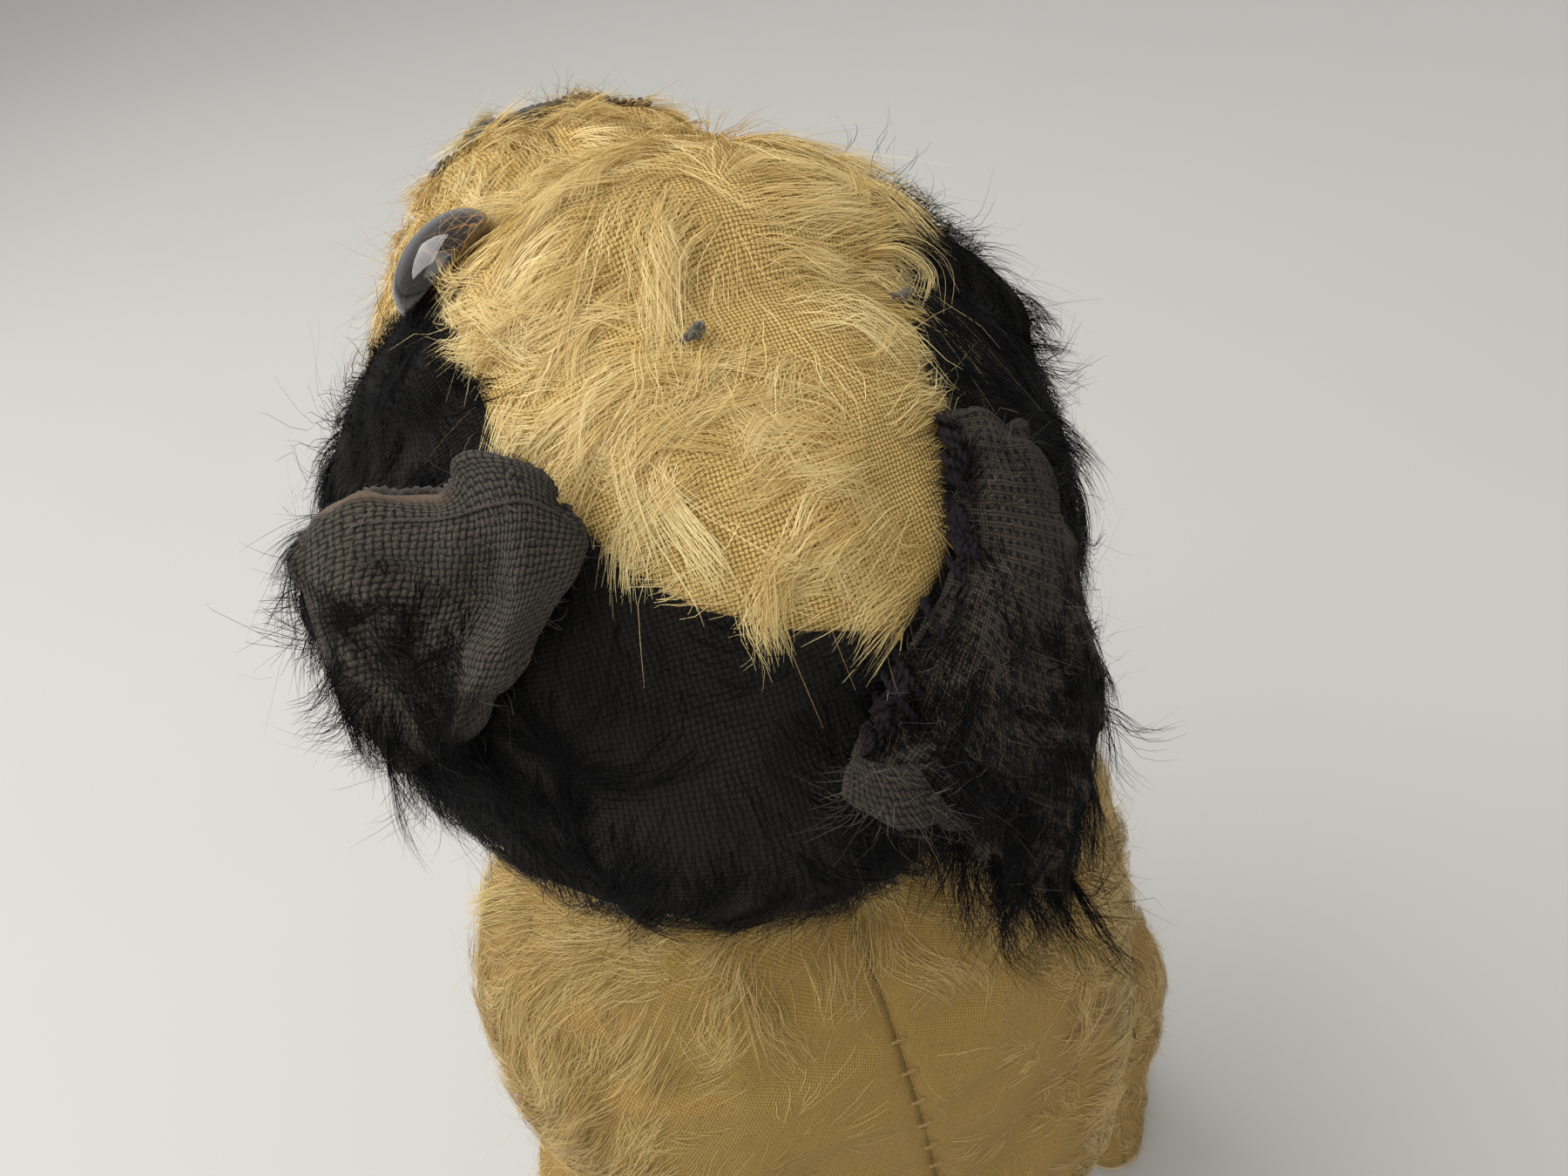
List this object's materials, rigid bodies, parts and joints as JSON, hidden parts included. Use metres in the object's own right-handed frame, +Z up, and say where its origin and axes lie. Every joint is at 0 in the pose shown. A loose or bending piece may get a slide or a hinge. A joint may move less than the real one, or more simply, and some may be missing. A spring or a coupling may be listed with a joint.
{
  "type": "jointed teddy bear",
  "caption": "Stuffed mohair bear with a turning head, disc-jointed arms and legs, folded ears, glass eyes and a bald woven back.",
  "frame": {"origin": "on the floor, under the middle of the bear's bounding box", "axes": "+Z up; the bear faces -Y; its left side is +X"},
  "size_m": [0.1578, 0.1442, 0.3117],
  "materials": {
    "gold_mohair": "worn straw-gold pile on a woven backing",
    "gold_mohair_body": "worn straw-gold pile on a woven backing",
    "black_mohair": "black pile on a woven backing",
    "ear_cloth": "faded brown-black cloth",
    "dark_thread": "coarse sewing thread",
    "gold_thread": "sewing thread",
    "eye_glass": "clear brown glass with a dark pupil",
    "stuffing": "packed wood wool",
    "fibreboard": "pressed fibreboard",
    "cardboard": "rolled cardboard tube",
    "tinplate": "perforated tin cap",
    "steel_wire": "plain steel wire and washers",
    "felt": "worn wool felt"
  },
  "bodies": {
    "torso": {"torso_left": "gold_mohair_body", "torso_right": "gold_mohair_body", "torso_stuffing": "stuffing", "back_stitching": "gold_thread", "neck_disc_body": "fibreboard", "neck_washer_body": "steel_wire", "shoulder_discs_body": "fibreboard", "hip_discs_body": "fibreboard", "body_washers": "steel_wire", "growler_box": "cardboard", "growler_cap": "tinplate"},
    "head": {"head_gusset": "gold_mohair", "muzzle_left": "gold_mohair", "muzzle_right": "gold_mohair", "head_side_left": "black_mohair", "head_side_right": "black_mohair", "head_stuffing": "stuffing", "ear_left_back": "black_mohair", "ear_left_lining": "ear_cloth", "ear_right_back": "black_mohair", "ear_right_lining": "ear_cloth", "ear_right_stitching": "dark_thread", "eye_left": "eye_glass", "eye_right": "eye_glass", "eye_wires": "steel_wire", "nose_stitching": "dark_thread", "mouth_stitching": "dark_thread", "thread_knots": "dark_thread", "neck_disc_head": "fibreboard", "neck_washer_head": "steel_wire", "neck_pin": "steel_wire"},
    "arm_left": {"arm_left_outer": "gold_mohair_body", "arm_left_inner": "gold_mohair_body", "arm_left_pad": "felt", "arm_left_stuffing": "stuffing", "arm_left_disc": "fibreboard", "arm_left_washer": "steel_wire", "arm_left_pin": "steel_wire"},
    "arm_right": {"arm_right_outer": "gold_mohair_body", "arm_right_inner": "gold_mohair_body", "arm_right_pad": "felt", "arm_right_stuffing": "stuffing", "arm_right_disc": "fibreboard", "arm_right_washer": "steel_wire", "arm_right_pin": "steel_wire"},
    "leg_left": {"leg_left_outer": "gold_mohair_body", "leg_left_inner": "gold_mohair_body", "leg_left_sole": "felt", "leg_left_stuffing": "stuffing", "leg_left_disc": "fibreboard", "leg_left_washer": "steel_wire", "leg_left_pin": "steel_wire"},
    "leg_right": {"leg_right_outer": "gold_mohair_body", "leg_right_inner": "gold_mohair_body", "leg_right_sole": "felt", "leg_right_stuffing": "stuffing", "leg_right_disc": "fibreboard", "leg_right_washer": "steel_wire", "leg_right_pin": "steel_wire"}
  },
  "joints": [
    {"name": "neck_turn", "type": "hinge", "parent": "torso", "child": "head", "pos_m": [0, 0.0082, 0.21515], "axis": [0, 0, 1], "continuous": true},
    {"name": "shoulder_left", "type": "hinge", "parent": "torso", "child": "arm_left", "pos_m": [0.02924, -0.03599, 0.1675], "axis": [0.6428, -0.766, 0], "range_deg": [-8, 110]},
    {"name": "shoulder_right", "type": "hinge", "parent": "torso", "child": "arm_right", "pos_m": [-0.02924, -0.03599, 0.1675], "axis": [0.6428, 0.766, 0], "range_deg": [-8, 110]},
    {"name": "hip_left", "type": "hinge", "parent": "torso", "child": "leg_left", "pos_m": [0.053, 0.0042, 0.0955], "axis": [-1, 0, 0], "range_deg": [-15, 90]},
    {"name": "hip_right", "type": "hinge", "parent": "torso", "child": "leg_right", "pos_m": [-0.053, 0.0042, 0.0955], "axis": [-1, 0, 0], "range_deg": [-15, 90]}
  ]
}
